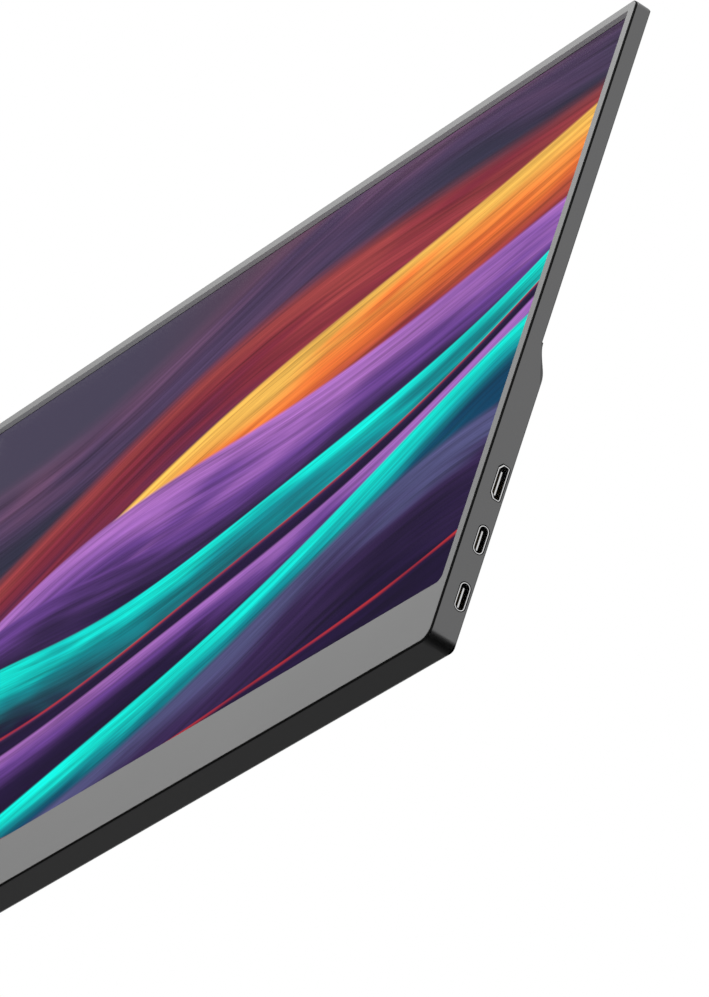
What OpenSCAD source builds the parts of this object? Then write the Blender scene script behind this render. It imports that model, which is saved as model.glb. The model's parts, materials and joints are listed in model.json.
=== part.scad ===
// Slim portable monitor: a metal tray with a stepped back, a flat front bezel, a 16:9
// panel with its backlight, a main board with three sockets on the right side, and a
// control board on the left side with a push button, a jog lever and a headphone jack.
// Seen from the front, +X is to the right, +Y goes to the back and +Z is up.
// The origin is the middle of the bottom edge.

/* [Body] */
// Width of the monitor
body_w = 352; // [300:1:420]
// Height of the monitor
body_h = 217.8; // [190:0.2:260]
// How much deeper the lower part is than the slim upper part
step_d = 3.5; // [3.1:0.1:8]
// Radius of the two lower corners, seen from the front
corner_r = 4; // [2:0.5:10]
// Radius of the two upper corners, seen from the front
top_corner_r = 3; // [2:0.5:10]
// Radius of the rounded edge along the sides and the bottom of the back
edge_r = 1; // [0.4:0.1:1.4]
// Radius of the rounded edge along the top of the back
top_edge_r = 2.8; // [1.4:0.1:3]
// Height at which the back starts to draw in
step_low_z = 88; // [79:1:120]
// Height of the slope between the deep part and the slim part
step_h = 12.5; // [8:0.5:25]

/* [Walls] */
// Thickness of the tray's side walls
side_wall = 0.9; // [0.6:0.1:1.5]
// Thickness of the tray's back wall
back_wall = 0.8; // [0.5:0.1:1.5]
// Thickness of the bezel's outer lip
lip_t = 0.2; // [0.15:0.05:0.4]
// Small chamfer round the bezel's outer edge
lip_chamfer = 0.12; // [0.05:0.01:0.14]
// Thickness of the black gasket between bezel and tray
gasket_t = 0.45; // [0.3:0.05:0.7]
// How far the gasket sits in from the side face
gasket_inset = 0.12; // [0.05:0.01:0.3]
// Gap between the bezel's rear part and the tray's side walls
bezel_gap = 0.1; // [0.05:0.01:0.2]

/* [Display] */
// Width of the bezel beside the display opening
side_border = 3.35; // [3:0.05:12]
// Height of the bezel over the display opening
top_border = 3.3; // [2.9:0.1:12]
// Height of the bezel under the display opening
chin_h = 19.7; // [17.5:0.1:30]
// Depth from the bezel's face to the glass
recess_d = 1.6; // [1.2:0.1:3]
// Radius of the display opening's two lower corners
view_r = 2.2; // [0.5:0.1:5]
// Thickness of the tape that holds the bezel to the glass
tape_t = 0.1; // [0.05:0.01:0.2]
// Width of that tape
tape_w = 1.2; // [0.6:0.1:1.5]
// Thickness of one of the two glass sheets
glass_t = 0.45; // [0.3:0.05:0.8]
// Thickness of each optical film
film_t = 0.2; // [0.1:0.05:0.4]
// Thickness of the light guide
guide_t = 0.6; // [0.4:0.1:2]
// Thickness of the reflector sheet
reflector_t = 0.15; // [0.05:0.01:0.3]
// Thickness of the panel's metal rear pan
pan_t = 0.3; // [0.2:0.05:0.8]
// Thickness of the foam pads between the panel and the slim back
pad_t = 0.65; // [0.3:0.05:2]
// Height of the panel module's lower edge
panel_z0 = 12; // [10.8:0.1:14]
// Gap between the panel module and the tray's walls
panel_gap = 0.5; // [0.3:0.1:0.8]
// Height of the contact ledge along the glass
ledge_h = 2.5; // [2:0.1:3]
// Width of the panel frame's rails
rail_w = 0.9; // [0.6:0.1:1.2]
// Height of the light bar
led_bar_h = 2.4; // [1.6:0.1:3.5]
// Number of lamps on the light bar
led_count = 24; // [8:1:40]

/* [Right side sockets] */
// Height of the display socket's centre
hdmi_z = 54.1; // [48.5:0.1:59.5]
// Length of the display socket's mouth, outside
hdmi_w = 11.2; // [10:0.1:13]
// Thickness of the display socket, outside
hdmi_t = 3.3; // [2.9:0.1:3.8]
// Radius of the display socket's two back corners, outside
hdmi_r = 0.7; // [0.4:0.1:1]
// Height of the upper small socket's centre
usb_upper_z = 35.2; // [31.5:0.1:39]
// Height of the lower small socket's centre
usb_lower_z = 16.6; // [14.5:0.1:20]
// Length of a small socket's mouth, outside
usb_w = 8.94; // [8:0.02:10]
// Thickness of a small socket, outside
usb_t = 3.26; // [2.9:0.02:3.7]
// Sheet thickness of the socket shells
shell_wall = 0.3; // [0.2:0.05:0.5]
// Depth of the sockets, from the side face inwards
socket_len = 7.3; // [6.5:0.1:9]
// Gap between a socket shell and the tray
socket_gap = 0.25; // [0.15:0.05:0.35]
// Thickness of the contact tongues
tongue_t = 0.7; // [0.5:0.05:0.8]
// How far a tongue sits back from the side face
tongue_back = 0.9; // [0.6:0.1:1.5]

/* [Left side controls] */
// Height of the headphone jack's centre
jack_z = 7.7; // [6.5:0.1:8.6]
// How far the jog slot's centre lies above the headphone jack's
jog_rise = 23.5; // [20:0.1:30]
// How far the status light lies above the jog slot's centre
light_rise = 8.8; // [7.8:0.1:12]
// How far the power button's centre lies above the status light
button_rise = 5.7; // [4:0.1:9]
// Radius of the power button
button_r = 1.5; // [1.1:0.05:1.65]
// How far the power button stands out
button_out = 2.4; // [0.8:0.1:4]
// How far the power button moves when pressed
button_travel = 0.5; // [0.3:0.1:0.6]
// Radius of the status light
light_r = 0.5; // [0.3:0.05:0.6]
// How far the jog slot and the status light lie behind the panel
jog_behind = 1.35; // [1.2:0.05:1.5]
// Length of the jog slot
slot_len = 12.2; // [9:0.1:14]
// Width of the jog slot
slot_w = 2.3; // [2.05:0.05:2.6]
// How far the jog lever's tip moves when it is pushed in
jog_travel = 0.4; // [0.2:0.1:0.5]
// Length of the jog lever's tip
jog_tip_h = 3.8; // [3:0.1:4.5]
// Distance from the side face to the jog lever's pivot
jog_pivot_in = 5.8; // [5:0.1:6.5]
// Depth of the headphone jack's centre from the front face
jack_d = 4.8; // [4.3:0.1:5.3]
// Radius of the headphone jack's bore
jack_r = 1.8; // [1.6:0.05:2]
// Outer radius of the headphone jack's ring
jack_ring_r = 2.5; // [2.2:0.1:2.8]
// Length of the headphone jack
jack_len = 14; // [12:0.5:18]
// Running gap round the button, the lever's pin and the status light
fit_gap = 0.05; // [0.03:0.01:0.08]

/* [Back] */
// Distance between the two threaded mounting holes
mount_spacing = 75; // [50:1:100]
// How far the two threaded mounting holes lie below the start of the slope
mount_drop = 2.5; // [2:0.5:8]
// Radius of the threaded mounting holes
mount_r = 1.65; // [1.3:0.05:1.85]
// Radius of the clearance holes in the back wall
mount_clear_r = 1.9; // [1.85:0.05:2.2]
// Length of the threaded inserts
insert_len = 3.3; // [2.5:0.1:3.7]
// Outer radius of the threaded inserts
insert_r = 2.9; // [2.6:0.1:3.2]
// Gap between a speaker box and the main board's edge
speaker_gap = 5.5; // [2:0.5:20]
// Height of the speaker grilles' centres
speaker_z = 14; // [12:0.5:16]
// Distance between neighbouring speaker holes
grille_pitch = 4; // [3.2:0.1:4.6]
// Radius of a speaker hole
grille_r = 1.15; // [0.6:0.05:1.4]
// Width of a speaker box
speaker_w = 34; // [26:1:44]
// Height of a speaker box
speaker_h = 14; // [12:0.5:16]

/* [Boards] */
// Thickness of the main board
board_t = 0.8; // [0.6:0.1:1]
// How far the main board's front lies before the sockets' centre line
board_lead = 1; // [0.8:0.1:1.1]
// Width of the main board
board_w = 56; // [50:1:64]
// Height of the main board
board_h = 58; // [52:1:72]
// Height of the main board's lower edge
board_z0 = 8; // [6:0.5:10]
// Gap between the main board and the tray's side wall
board_gap = 0.6; // [0.4:0.1:1]
// Gap between the pressed power button and the control board's edge
control_gap = 0.3; // [0.1:0.1:0.6]
// Width of the control board
control_w = 14; // [12.5:0.5:20]
// Gap between the headphone jack and the control board's lower edge
control_low = 2.3; // [1:0.1:5]
// How far the control board reaches over the power button's centre
control_over = 4.3; // [3.5:0.1:8]
// Distance from the control board's front to the tray's back wall
control_back = 1.5; // [1.3:0.1:1.7]
// Radius of the board screws' heads
screw_head_r = 1.7; // [1.4:0.1:2]
// Radius of the board screws' shafts
screw_r = 0.7; // [0.6:0.05:0.9]
// Radius of the posts under the boards
post_r = 2; // [1.6:0.1:2.4]

/* [Hidden] */
$fn = 48;
// Overlap that makes a cutter run past the face that it opens
cut = 1;
half_w = body_w / 2;
inner_w = body_w - 2 * side_wall;
wall_d = lip_t + gasket_t;
bezel_back = recess_d - tape_t;
view_w = body_w - 2 * side_border;
view_z1 = body_h - top_border;
// The bezel's rear part, inside the tray's walls
bezel_in_w = inner_w - 2 * bezel_gap;
bezel_in_z = side_wall + bezel_gap;
bezel_in_r = max(corner_r - bezel_in_z, 0.5);
bezel_top_r = max(top_corner_r - bezel_in_z, 0.5);
// The stack of the panel module, from the front
cell_rear = recess_d + 2 * glass_t;
film_rear = cell_rear + 2 * film_t;
guide_rear = film_rear + guide_t;
pan_d = guide_rear + reflector_t;
pan_rear = pan_d + pan_t;
// The tray's back, in its slim part and in its deep part
slim_back = pan_rear + pad_t;
slim_t = slim_back + back_wall;
deep_back = slim_back + step_d;
thick_t = deep_back + back_wall;
step_high_z = step_low_z + step_h;
// Middle of the space between the panel and the deep back
mid_d = (pan_rear + deep_back) / 2;
panel_w = inner_w - 2 * panel_gap;
panel_z1 = body_h - side_wall - panel_gap;
panel_r = max(corner_r - side_wall - panel_gap, 0.3);
optic_r = max(panel_r - rail_w, 0.3);
optic_w = panel_w - 2 * rail_w;
optic_z1 = panel_z1 - rail_w;
bar_z1 = panel_z0 + rail_w + led_bar_h;
ledge_z1 = panel_z0 + ledge_h;
lamp_h = 1;
lamp_w = 3;
// The circuit strip under the glass, with its short flexes
flex_t = 0.1;
flex_w = 18;
flex_count = 6;
strip_rear = recess_d + glass_t - flex_t;
strip_h = 8;
strip_in = 24.6;
strip_w = panel_w - 2 * strip_in;
strip_gap = 0.5;
strip_z1 = panel_z0 - strip_gap;
flex_end = 26;
flex_pitch = (strip_w - 2 * flex_end - flex_w) / (flex_count - 1);
flex_lap = 2.5;
cable_t = 0.15;
cable_w = 12;
cable_z = 3.4;
cable_in = 6;
cable_lap = 3;
// Heights and depths of the controls on the left side
jog_z = jack_z + jog_rise;
light_z = jog_z + light_rise;
button_z = light_z + button_rise;
jog_d = pan_rear + jog_behind;
light_d = jog_d;
button_d = mid_d;
// Power button
button_flange_r = button_r + 0.35;
button_flange_t = 0.6;
button_flange_gap = 0.15;
button_tail = 0.8;
button_in = side_wall + button_flange_gap + button_flange_t + button_tail;
switch_gap = button_travel + fit_gap;
switch_len = 4;
switch_t = 2.1;
switch_half = 2.2;
// Boards
socket_d = mid_d;
board_d = socket_d - board_lead;
board_x1 = half_w - side_wall - board_gap;
board_x0 = board_x1 - board_w;
board_rear = board_d + board_t;
control_x0 = -half_w + button_in + button_travel + control_gap;
control_x1 = control_x0 + control_w;
jack_half = jack_ring_r + 0.5;
jack_wall = 0.7;
jack_end = 1;
ring_out = 0.1;
control_z0 = jack_z + jack_half + control_low;
control_z1 = button_z + control_over;
control_d = deep_back - control_back;
control_rear = control_d + board_t;
notch_gap = 0.2;
post_inset = 3.2;
post_shift = 8;
screw_head_t = 0.8;
screw_reach = 1.6;
// Shield can, placed from the main board's lower left corner
can_x = 10;
can_z = 29;
can_w = 17.6;
can_t = 1.9;
can_sheet = 0.2;
can_chip_in = 2.8;
can_chip_w = 12;
can_chip_t = 1.1;
// Chips: [x, z] from the main board's lower left corner, then width, height, thickness
chips = [[12, 12, 8, 10, 0.9], [28, 8, 6, 6, 0.8], [37, 20, 4, 4, 0.7], [38, 38, 5, 5, 0.8],
    [can_x + can_chip_in, can_z + can_chip_in, can_chip_w, can_chip_w, can_chip_t]];
// Coils: [x, z] from the same corner
coils = [[28, 18], [28, 24], [22, 18]];
coil_w = 4.4;
coil_t = 1.8;
// How far the status light's face sits back from the side face, and its lamp
light_back = 0.3;
lamp_len = 1.2;
lamp_half = 0.8;
// Jog lever, its carrier and its switch body
jog_half = 1.15;
ear_t = 0.4;
pin_r = 0.4;
lever_w = 2 * (jog_half - ear_t) - 0.1;
barrel_r = 0.9;
carrier_len = 1.6;
jog_switch_len = 6;
cheek_t = 0.5;
jog_body_h = 5;
jog_tip_t = 0.9;
jog_tip_out = 0.15;
jog_tip_half = slot_w / 2 - 0.3;
stem_h = 1.3;
stem_in = 0.3;
carrier_half = 1.8;
barrel_gap = 0.3;
// Threaded inserts and their bosses
mount_z = step_low_z - mount_drop;
insert_gap = 0.2;
insert_back = deep_back - insert_gap;
insert_wall = 1.2;
// Speakers
speaker_x = board_x0 - speaker_gap - speaker_w / 2;
speaker_clear = 0.5;
speaker_front = pan_rear + speaker_clear;
mesh_t = 0.1;
speaker_rear = deep_back - mesh_t;
mesh_rim = 1.05;
mesh_r = grille_pitch + grille_r + mesh_rim;
cone_in = 1.3;
cone_r = mesh_r - cone_in;
cone_depth = 0.9;
lead_r = 0.5;
lead_rise = 2;
lead_z = speaker_z + speaker_h / 2 + lead_rise;
// Ribs on the deep back, spread from near the left side to near the main board
rib_count = 4;
rib_left_in = 46;
rib_right_in = 106;
rib_x0 = -half_w + rib_left_in;
rib_x1 = half_w - rib_right_in;
rib_z0 = 44;
rib_low = 6;
rib_z1 = step_low_z - rib_low;
rib_t = 1.2;
rib_gap = 0.1;
// Foam pads: three rows of two, spread over the slim back
pad_rows = 3;
pad_low = 17.5;
pad_high = 17.8;
pad_z0 = step_high_z + pad_low;
pad_z1 = body_h - pad_high;
pad_h = 9;
pad_w = 110;
pad_in = 21;
pad_x = half_w - pad_in - pad_w / 2;
// Ribbon between the two boards
ribbon_h = 8;
ribbon_z = jog_z - ribbon_h / 2;
ribbon_t = 0.2;
ribbon_lap = 4;
ribbon_ramp = 8;

// Points of a quarter turn of radius r about (cx, cy), from angle a0 on
function quarter(cx, cy, r, a0, n = 8) =
    [for (i = [0 : n]) [cx + r * cos(a0 + 90 * i / n), cy + r * sin(a0 + 90 * i / n)]];

// Points of the sloping step, from the deep part up to the slim part, n per run
function slope(d_deep, d_slim, z0, z1, n = 20) =
    [for (i = [0 : n]) let (u = i / n, s = u * u * (3 - 2 * u))
        [d_deep + (d_slim - d_deep) * s, z0 + (z1 - z0) * u]];

// A flat outline in x and z, made solid between two depths from the front face
module slab(d0, d1) {
    translate([0, d1 - thick_t / 2, 0])
        rotate([90, 0, 0])
            linear_extrude(height = d1 - d0)
                children();
}

// A flat outline in depth and z, made solid between two places along x
module bar_along_x(x0, x1) {
    translate([x0, -thick_t / 2, 0])
        rotate([90, 0, 90])
            linear_extrude(height = x1 - x0)
                children();
}

// A flat outline in x and depth, made solid between two heights
module bar_along_z(z0, z1) {
    translate([0, -thick_t / 2, z0])
        linear_extrude(height = z1 - z0)
            children();
}

// A round bar along x, given by its depth and height
module rod_x(x0, x1, d, z, r) {
    translate([x0, d - thick_t / 2, z])
        rotate([0, 90, 0])
            cylinder(r = r, h = x1 - x0);
}

// A round bar along the depth
module rod_y(d0, d1, x, z, r) {
    translate([x, d0 - thick_t / 2, z])
        rotate([-90, 0, 0])
            cylinder(r = r, h = d1 - d0);
}

// A box given by its corners in x, depth and z
module block(x0, x1, d0, d1, z0, z1) {
    translate([x0, d0 - thick_t / 2, z0])
        cube([x1 - x0, d1 - d0, z1 - z0]);
}

// A rectangle with round corners, centred across x; t is the upper corners' own radius
module rounded(w, z0, z1, r, t = 0) {
    q = t > 0 ? t : r;
    middle = (z0 + z1) / 2;
    translate([-w / 2 + r, z0]) square([w - 2 * r, middle - z0]);
    translate([-w / 2 + q, middle]) square([w - 2 * q, z1 - middle]);
    translate([-w / 2, z0 + r]) square([w, z1 - z0 - r - q]);
    for (s = [-1, 1]) {
        translate([s * (w / 2 - r), z0 + r]) circle(r);
        translate([s * (w / 2 - q), z1 - q]) circle(q);
    }
}

// A plain rectangle, centred across x
module plain(w, z0, z1) {
    translate([-w / 2, z0]) square([w, z1 - z0]);
}

// A long hole's outline in depth and z: len along z, wide across
module stadium(d, z, len, wide) {
    translate([d - wide / 2, z - (len - wide) / 2]) square([wide, len - wide]);
    for (s = [-1, 1])
        translate([d, z + s * (len - wide) / 2]) circle(wide / 2);
}

// The small socket's outline in depth and z, grown by g all round
module usb_outline(z, g) {
    stadium(socket_d, z, usb_w + 2 * g, usb_t + 2 * g);
}

// The display socket's outline: a bar with two slanted corners on its front side
module hdmi_outline(g) {
    w = hdmi_w / 2 + g;
    t = hdmi_t / 2 + g;
    r = max(hdmi_r + g, 0.1);
    slant = 1.1;
    translate([socket_d, hdmi_z])
        polygon(concat([[slant - t, -w]], quarter(t - r, r - w, r, -90, 4),
            quarter(t - r, w - r, r, 0, 4),
            [[slant - t, w], [-t, w - slant * 1.4], [-t, -w + slant * 1.4]]));
}

// The display opening: square upper corners and round lower corners
module view_outline(g) {
    w = view_w + 2 * g;
    z0 = chin_h - g;
    z1 = view_z1 + g;
    r = view_r + g;
    translate([-w / 2, z0 + r]) square([w, z1 - z0 - r]);
    translate([-w / 2 + r, z0]) square([w - 2 * r, r + cut / 2]);
    for (s = [-1, 1])
        translate([s * (w / 2 - r), z0 + r]) circle(r);
}

// The places of one grille's seven holes, round the middle (cx, speaker_z)
function grille(cx) = concat([[cx, speaker_z]],
    [for (a = [0 : 60 : 300]) [cx + grille_pitch * cos(a), speaker_z + grille_pitch * sin(a)]]);

// Posts of the main board and of the control board, each as [x, z]
function main_posts() = [[board_x0 + post_inset, board_z0 + post_inset],
    [board_x0 + post_inset, board_z0 + board_h - post_inset],
    [board_x1 - post_inset - post_shift, board_z0 + board_h - post_inset]];
function control_posts() = [[control_x1 - post_inset, control_z0 + post_inset],
    [control_x1 - post_inset, control_z1 - post_inset]];

module front_bezel() {
    color("slategray") difference() {
        union() {
            slab(lip_chamfer, lip_t) rounded(body_w, 0, body_h, corner_r, top_corner_r);
            slab(0, lip_chamfer)
                rounded(body_w - 2 * lip_chamfer, lip_chamfer, body_h - lip_chamfer,
                    corner_r - lip_chamfer, top_corner_r - lip_chamfer);
            slab(lip_t, bezel_back)
                rounded(bezel_in_w, bezel_in_z, body_h - bezel_in_z, bezel_in_r, bezel_top_r);
        }
        slab(-cut, bezel_back + cut) view_outline(0);
    }
}

module bezel_tape() {
    color("black") slab(bezel_back, recess_d) difference() {
        plain(view_w + 2 * tape_w, ledge_z1, view_z1 + tape_w);
        view_outline(0.2);
    }
}

module seam_gasket() {
    color("black") slab(lip_t, wall_d) difference() {
        rounded(body_w - 2 * gasket_inset, gasket_inset, body_h - gasket_inset,
            corner_r - gasket_inset, top_corner_r - gasket_inset);
        rounded(bezel_in_w, bezel_in_z, body_h - bezel_in_z, bezel_in_r, bezel_top_r);
    }
}

module glass_cell() {
    color("midnightblue") {
        slab(recess_d, recess_d + glass_t) rounded(panel_w, ledge_z1, panel_z1, panel_r);
        slab(recess_d + glass_t, cell_rear) rounded(panel_w, panel_z0, panel_z1, panel_r);
    }
}

module glass_flex() {
    color("darkorange") for (i = [0 : flex_count - 1])
        slab(strip_rear, strip_rear + flex_t)
            translate([(i - (flex_count - 1) / 2) * flex_pitch, 0])
                plain(flex_w, strip_z1 - flex_lap, ledge_z1 - 0.3);
}

module prism_film() {
    color("gainsboro") slab(cell_rear, cell_rear + film_t) rounded(optic_w, bar_z1, optic_z1, optic_r);
}

module diffuser_film() {
    color("white") slab(cell_rear + film_t, film_rear) rounded(optic_w, bar_z1, optic_z1, optic_r);
}

module light_guide() {
    color("lightcyan") slab(film_rear, guide_rear) rounded(optic_w, bar_z1, optic_z1, optic_r);
}

module reflector_sheet() {
    color("white") slab(guide_rear, pan_d) rounded(optic_w, bar_z1, optic_z1, optic_r);
}

module light_bar() {
    color("beige") slab(film_rear, pan_d)
        plain(optic_w - 2 * optic_r, panel_z0 + rail_w, bar_z1 - lamp_h);
}

module light_bar_lamps() {
    pitch = (optic_w - 2 * optic_r) / led_count;
    color("khaki") for (i = [0 : led_count - 1])
        translate([(i - (led_count - 1) / 2) * pitch, 0, 0])
            slab(film_rear, guide_rear) plain(lamp_w, bar_z1 - lamp_h, bar_z1);
}

module panel_frame() {
    color("dimgray") slab(cell_rear, pan_d) difference() {
        rounded(panel_w, panel_z0, panel_z1, panel_r);
        rounded(optic_w, panel_z0 + rail_w, optic_z1, optic_r);
    }
}

module panel_pan() {
    color("silver") slab(pan_d, pan_rear) rounded(panel_w, panel_z0, panel_z1, panel_r);
}

module panel_board() {
    color("darkgreen") slab(bezel_back, strip_rear) plain(strip_w, strip_z1 - strip_h, strip_z1);
}

// A flat cable that folds from the circuit strip's back to the main board's front
module panel_cable() {
    near = strip_rear;
    far = board_d;
    top = board_z0 + cable_in;
    low = cable_z;
    start = strip_z1 - cable_lap;
    color("saddlebrown")
        bar_along_x(board_x0 + cable_in, board_x0 + cable_in + cable_w)
            polygon([[near, start], [near, low], [far, low], [far, top],
                [far - cable_t, top], [far - cable_t, low + cable_t],
                [near + cable_t, low + cable_t], [near + cable_t, start]]);
}

module foam_pads() {
    pitch = (pad_z1 - pad_z0) / (pad_rows - 1);
    color("black") for (i = [0 : pad_rows - 1], s = [-1, 1])
        translate([s * pad_x, 0, pad_z0 + i * pitch])
            block(-pad_w / 2, pad_w / 2, pan_rear, slim_back, -pad_h / 2, pad_h / 2);
}

// The tray's outside, with the step across the back and its rounded edges
module tray_solid() {
    intersection() {
        slab(wall_d, thick_t) rounded(body_w, 0, body_h, corner_r, top_corner_r);
        union() {
            intersection() {
                bar_along_x(-half_w, half_w)
                    polygon(concat([[wall_d, 0], [slim_t, 0]],
                        quarter(slim_t - top_edge_r, body_h - top_edge_r, top_edge_r, 0),
                        [[wall_d, body_h]]));
                bar_along_z(0, body_h) plan(slim_t);
            }
            intersection() {
                bar_along_x(-half_w, half_w)
                    polygon(concat([[wall_d, 0]],
                        quarter(thick_t - edge_r, edge_r, edge_r, -90),
                        slope(thick_t, slim_t, step_low_z, step_high_z),
                        [[wall_d, step_high_z]]));
                bar_along_z(0, step_high_z) plan(thick_t);
            }
        }
    }
}

// The outline seen from above, as deep as t, with its two back corners rounded
module plan(t) {
    polygon(concat([[-half_w, wall_d], [half_w, wall_d]],
        quarter(half_w - edge_r, t - edge_r, edge_r, 0),
        quarter(-half_w + edge_r, t - edge_r, edge_r, 90)));
}

// The hollow inside the tray, rounded along the top as the outside is
module tray_hollow() {
    hollow_r = top_edge_r - 1.2;
    intersection() {
        slab(0, deep_back)
            rounded(inner_w, side_wall, body_h - side_wall, max(corner_r - side_wall, 0.5),
                max(top_corner_r - side_wall, 0.5));
        bar_along_x(-half_w, half_w)
            polygon(concat([[0, 0], [deep_back, 0]],
                slope(deep_back, slim_back, step_low_z - back_wall, step_high_z - back_wall),
                quarter(slim_back - hollow_r, body_h - side_wall - hollow_r, hollow_r, 0),
                [[0, body_h - side_wall]]));
    }
}

module side_openings() {
    bar_along_x(half_w - side_wall - cut, half_w + cut) {
        hdmi_outline(socket_gap);
        usb_outline(usb_upper_z, socket_gap);
        usb_outline(usb_lower_z, socket_gap);
    }
    bar_along_x(-half_w - cut, -half_w + side_wall + cut)
        stadium(jog_d, jog_z, slot_len, slot_w);
    rod_x(-half_w - cut, -half_w + side_wall + cut, button_d, button_z, button_r + fit_gap);
    rod_x(-half_w - cut, -half_w + side_wall + cut, light_d, light_z, light_r + fit_gap);
    rod_x(-half_w - cut, -half_w + side_wall + cut, jack_d, jack_z, jack_ring_r + fit_gap);
}

module back_openings() {
    for (s = [-1, 1]) {
        rod_y(deep_back - cut, thick_t + cut, s * mount_spacing / 2, mount_z, mount_clear_r);
        for (p = grille(s * speaker_x))
            rod_y(deep_back - cut, thick_t + cut, p[0], p[1], grille_r);
    }
}

// Posts, bosses and ribs that stand on the back wall inside the tray
module tray_fittings() {
    for (p = main_posts())
        difference() {
            rod_y(board_rear, deep_back, p[0], p[1], post_r);
            rod_y(board_rear - cut, board_rear + screw_reach, p[0], p[1], screw_r);
        }
    for (p = control_posts())
        difference() {
            rod_y(control_rear, deep_back, p[0], p[1], post_r);
            rod_y(control_rear - cut, deep_back - 0.1, p[0], p[1], screw_r);
        }
    for (s = [-1, 1])
        difference() {
            rod_y(deep_back - insert_len, deep_back, s * mount_spacing / 2, mount_z,
                insert_r + insert_wall);
            rod_y(deep_back - insert_len - cut, deep_back + cut, s * mount_spacing / 2,
                mount_z, insert_r + fit_gap);
        }
    for (i = [0 : rib_count - 1])
        translate([rib_x0 + i * (rib_x1 - rib_x0) / (rib_count - 1), 0, 0])
            block(-rib_t / 2, rib_t / 2, pan_rear + rib_gap, deep_back, rib_z0, rib_z1);
}

module rear_housing() {
    color("dimgray") {
        difference() {
            tray_solid();
            tray_hollow();
            side_openings();
            back_openings();
        }
        tray_fittings();
    }
}

module mount_inserts() {
    color("goldenrod") for (s = [-1, 1])
        difference() {
            rod_y(deep_back - insert_len, insert_back, s * mount_spacing / 2, mount_z,
                insert_r);
            rod_y(deep_back - insert_len - cut, deep_back + cut, s * mount_spacing / 2,
                mount_z, mount_r);
        }
}

module main_board() {
    notch_x = half_w - socket_len - notch_gap;
    color("darkgreen") difference() {
        block(board_x0, board_x1, board_d, board_rear, board_z0, board_z0 + board_h);
        block(notch_x, half_w, board_d - cut, board_rear + cut,
            hdmi_z - hdmi_w / 2 - notch_gap, hdmi_z + hdmi_w / 2 + notch_gap);
        for (z = [usb_upper_z, usb_lower_z])
            block(notch_x, half_w, board_d - cut, board_rear + cut,
                z - usb_w / 2 - notch_gap, z + usb_w / 2 + notch_gap);
        for (p = main_posts())
            rod_y(board_d - cut, board_rear + cut, p[0], p[1], screw_r);
    }
}

module board_chips() {
    color("black") for (c = chips)
        block(board_x0 + c[0], board_x0 + c[0] + c[2], board_rear, board_rear + c[4],
            board_z0 + c[1], board_z0 + c[1] + c[3]);
}

module board_coils() {
    color("gray") for (p = coils)
        block(board_x0 + p[0], board_x0 + p[0] + coil_w, board_rear, board_rear + coil_t,
            board_z0 + p[1], board_z0 + p[1] + coil_w);
}

module shield_can() {
    x0 = board_x0 + can_x;
    z0 = board_z0 + can_z;
    color("silver") difference() {
        block(x0, x0 + can_w, board_rear, board_rear + can_t, z0, z0 + can_w);
        block(x0 + can_sheet, x0 + can_w - can_sheet, board_rear - cut,
            board_rear + can_t - can_sheet, z0 + can_sheet, z0 + can_w - can_sheet);
    }
}

module board_screws() {
    color("silver") {
        for (p = main_posts()) {
            rod_y(board_d - screw_head_t, board_d, p[0], p[1], screw_head_r);
            rod_y(board_d, board_rear + screw_reach - 0.1, p[0], p[1], screw_r - 0.02);
        }
        for (p = control_posts()) {
            rod_y(control_d - screw_head_t, control_d, p[0], p[1], screw_head_r);
            rod_y(control_d, deep_back - 0.2, p[0], p[1], screw_r - 0.02);
        }
    }
}

// A socket shell: the child outline as a ring, closed at its inner end
module socket_shell() {
    difference() {
        bar_along_x(half_w - socket_len, half_w) children(0);
        bar_along_x(half_w - socket_len + shell_wall, half_w + cut) children(1);
    }
}

// A contact tongue with the block that carries it at the inner end
module socket_tongue(z, w) {
    x0 = half_w - socket_len + shell_wall;
    color("dimgray") {
        bar_along_x(x0, x0 + 1.2) children();
        block(x0, half_w - tongue_back, socket_d - tongue_t / 2, socket_d + tongue_t / 2,
            z - w / 2, z + w / 2);
    }
}

module hdmi_shell() {
    color("silver") socket_shell() {
        hdmi_outline(0);
        hdmi_outline(-shell_wall);
    }
}

module hdmi_tongue() {
    socket_tongue(hdmi_z, hdmi_w - 3.2) hdmi_outline(-shell_wall);
}

module usb_shell(z) {
    color("silver") socket_shell() {
        usb_outline(z, 0);
        usb_outline(z, -shell_wall);
    }
}

module usb_upper_shell() {
    usb_shell(usb_upper_z);
}

module usb_upper_tongue() {
    socket_tongue(usb_upper_z, usb_w - 2.3) usb_outline(usb_upper_z, -shell_wall);
}

module usb_lower_shell() {
    usb_shell(usb_lower_z);
}

module usb_lower_tongue() {
    socket_tongue(usb_lower_z, usb_w - 2.3) usb_outline(usb_lower_z, -shell_wall);
}

module jack_body() {
    x0 = -half_w + side_wall;
    color("black") difference() {
        block(x0, x0 + jack_len, jack_d - jack_r - jack_wall, deep_back, jack_z - jack_half,
            jack_z + jack_half);
        rod_x(x0 - cut, x0 + jack_len - jack_end, jack_d, jack_z, jack_r);
    }
}

module jack_ring() {
    color("silver") difference() {
        rod_x(-half_w - ring_out, -half_w + side_wall, jack_d, jack_z, jack_ring_r);
        rod_x(-half_w - cut, -half_w + side_wall + cut, jack_d, jack_z, jack_r);
    }
}

module power_button() {
    flange_x = -half_w + side_wall + button_flange_gap;
    color("dimgray") {
        rod_x(-half_w - button_out, -half_w + button_in, button_d, button_z, button_r);
        rod_x(flange_x, flange_x + button_flange_t, button_d, button_z, button_flange_r);
    }
}

module power_switch() {
    x0 = -half_w + button_in + switch_gap;
    color("gray")
        block(x0, x0 + switch_len, control_d - switch_t, control_d, button_z - switch_half,
            button_z + switch_half);
}

module status_light() {
    color("white")
        rod_x(-half_w + light_back, control_x0, light_d, light_z, light_r);
}

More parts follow.
